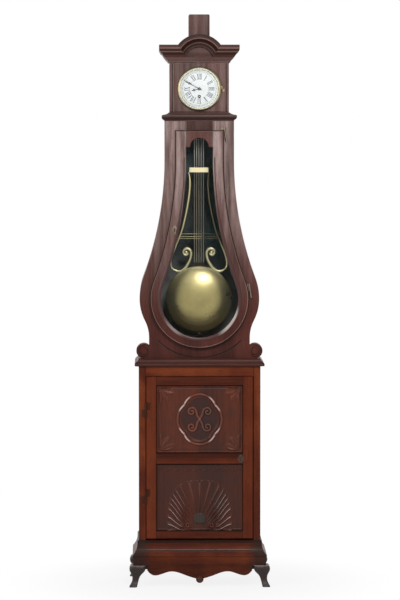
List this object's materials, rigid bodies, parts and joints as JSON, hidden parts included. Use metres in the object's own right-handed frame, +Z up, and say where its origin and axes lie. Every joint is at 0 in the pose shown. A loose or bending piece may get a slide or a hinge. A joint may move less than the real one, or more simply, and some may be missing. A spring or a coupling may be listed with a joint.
{
  "type": "longcase clock",
  "caption": "Free-standing longcase clock with a violin-shaped glazed trunk, lyre pendulum, round hinged dial bezel and a carved base cabinet on short curled feet.",
  "frame": {"origin": "on the floor under the middle of the clock", "axes": "+Z up, the dial faces -Y, +X to the right of someone facing the dial"},
  "size_m": [0.594, 0.342, 2.399],
  "materials": {
    "stained_wood": "dark red-brown stain, satin wax",
    "aged_brass": "aged brass",
    "polished_brass": "pressed and polished brass",
    "rod_brass": "drawn brass rod",
    "steel": "ground steel",
    "blued_steel": "blued steel",
    "iron": "dark wrought iron",
    "enamel": "white enamel",
    "glass": "old window glass"
  },
  "bodies": {
    "case": {"apron_front": "stained_wood", "bezel_hinge_post": "aged_brass", "cabinet_back": "stained_wood", "cabinet_floor": "stained_wood", "cabinet_front_frame": "stained_wood", "cabinet_hinge_posts": "iron", "cabinet_sides": "stained_wood", "cornice": "stained_wood", "crest_block": "stained_wood", "dial": "enamel", "front_feet": "stained_wood", "hood_back": "stained_wood", "hood_base": "stained_wood", "hood_front": "stained_wood", "hood_sides": "stained_wood", "hood_top": "stained_wood", "movement_plates": "aged_brass", "pediment_board": "stained_wood", "plinth": "stained_wood", "rear_feet": "stained_wood", "scroll_ears": "stained_wood", "seatboard": "stained_wood", "side_aprons": "stained_wood", "suspension_cock": "aged_brass", "trunk_back": "stained_wood", "trunk_face_frame": "stained_wood", "trunk_hinge_posts": "aged_brass", "trunk_sides": "stained_wood", "waist_board": "stained_wood"},
    "cabinet_door": {"cabinet_door_frame": "stained_wood", "upper_panel": "stained_wood", "lower_panel": "stained_wood", "cabinet_hinge_sleeves": "iron", "cabinet_escutcheon": "aged_brass", "cabinet_lock_case": "iron"},
    "cabinet_key": {"cabinet_key": "iron"},
    "cabinet_bolt": {"cabinet_bolt": "iron"},
    "trunk_door": {"trunk_door_frame": "stained_wood", "trunk_door_glass": "glass", "glass_bead": "stained_wood", "trunk_hinge_sleeves": "aged_brass", "trunk_escutcheon": "aged_brass"},
    "trunk_key": {"trunk_key": "iron"},
    "bezel": {"bezel": "aged_brass", "dial_glass": "glass"},
    "minute_train": {"centre_arbor": "aged_brass", "minute_hand": "blued_steel"},
    "hour_train": {"hour_wheel": "aged_brass", "hour_hand": "blued_steel"},
    "minute_wheel": {"minute_wheel": "aged_brass"},
    "barrel": {"barrel": "aged_brass"},
    "winding_arbor": {"winding_arbor": "steel"},
    "third_wheel": {"third_wheel": "aged_brass"},
    "escape_wheel": {"escape_wheel": "aged_brass"},
    "anchor": {"anchor": "steel"},
    "pendulum": {"pendulum_rods": "rod_brass", "pendulum_crossbar": "polished_brass", "lyre": "polished_brass", "bob": "polished_brass", "rating_nut": "polished_brass"}
  },
  "joints": [
    {"name": "cabinet_door_hinge", "type": "hinge", "parent": "case", "child": "cabinet_door", "pos_m": [-0.22525, -0.1332, 0.54], "axis": [0, 0, -1], "range_deg": [0, 105]},
    {"name": "cabinet_key_turn", "type": "hinge", "parent": "cabinet_door", "child": "cabinet_key", "pos_m": [0.1725, -0.129, 0.538], "axis": [0, 1, 0], "range_deg": [0, 90]},
    {"name": "cabinet_bolt_slide", "type": "slide", "parent": "cabinet_door", "child": "cabinet_bolt", "axis": [1, 0, 0], "range_m": [0, 0.008]},
    {"name": "trunk_door_hinge", "type": "hinge", "parent": "case", "child": "trunk_door", "pos_m": [0.1085, -0.0966, 1.896], "axis": [-0.156, 0, 0.9878], "range_deg": [0, 100]},
    {"name": "trunk_key_turn", "type": "hinge", "parent": "trunk_door", "child": "trunk_key", "pos_m": [-0.10377, -0.111, 1.498], "axis": [0, 1, 0], "range_deg": [0, 90]},
    {"name": "bezel_hinge", "type": "hinge", "parent": "case", "child": "bezel", "pos_m": [0.0955, -0.073, 2.087], "axis": [0, 0, 1], "range_deg": [0, 110]},
    {"name": "minute_turn", "type": "hinge", "parent": "case", "child": "minute_train", "pos_m": [0, -0.07, 2.087], "axis": [0, 1, 0], "continuous": true},
    {"name": "hour_turn", "type": "hinge", "parent": "case", "child": "hour_train", "pos_m": [0, -0.07, 2.087], "axis": [0, 1, 0], "continuous": true},
    {"name": "minute_wheel_turn", "type": "hinge", "parent": "case", "child": "minute_wheel", "pos_m": [0.02, -0.034, 2.087], "axis": [0, 1, 0], "continuous": true},
    {"name": "barrel_turn", "type": "hinge", "parent": "case", "child": "barrel", "pos_m": [0, 0, 2.055], "axis": [0, 1, 0], "continuous": true},
    {"name": "winding_turn", "type": "hinge", "parent": "case", "child": "winding_arbor", "pos_m": [0, 0, 2.055], "axis": [0, 1, 0], "continuous": true},
    {"name": "third_wheel_turn", "type": "hinge", "parent": "case", "child": "third_wheel", "pos_m": [-0.008, 0, 2.1089], "axis": [0, 1, 0], "continuous": true},
    {"name": "escape_wheel_turn", "type": "hinge", "parent": "case", "child": "escape_wheel", "pos_m": [0, 0, 2.1253], "axis": [0, 1, 0], "continuous": true},
    {"name": "anchor_rock", "type": "hinge", "parent": "case", "child": "anchor", "pos_m": [0, 0, 2.165], "axis": [0, 1, 0], "range_deg": [-2.5, 2.5]},
    {"name": "pendulum_swing", "type": "hinge", "parent": "case", "child": "pendulum", "pos_m": [0, 0.039, 2.165], "axis": [0, 1, 0], "range_deg": [-2.5, 2.5]}
  ],
  "couplings": [
    {"joint": "cabinet_key_turn", "follows": "cabinet_bolt_slide", "rad_per_m": 196},
    {"joint": "hour_turn", "follows": "minute_turn", "ratio": 0.083333},
    {"joint": "minute_wheel_turn", "follows": "minute_turn", "ratio": -0.33333},
    {"joint": "barrel_turn", "follows": "minute_turn", "ratio": -0.16667},
    {"joint": "third_wheel_turn", "follows": "minute_turn", "ratio": -8},
    {"joint": "escape_wheel_turn", "follows": "minute_turn", "ratio": 60},
    {"joint": "anchor_rock", "follows": "pendulum_swing", "ratio": 1}
  ]
}
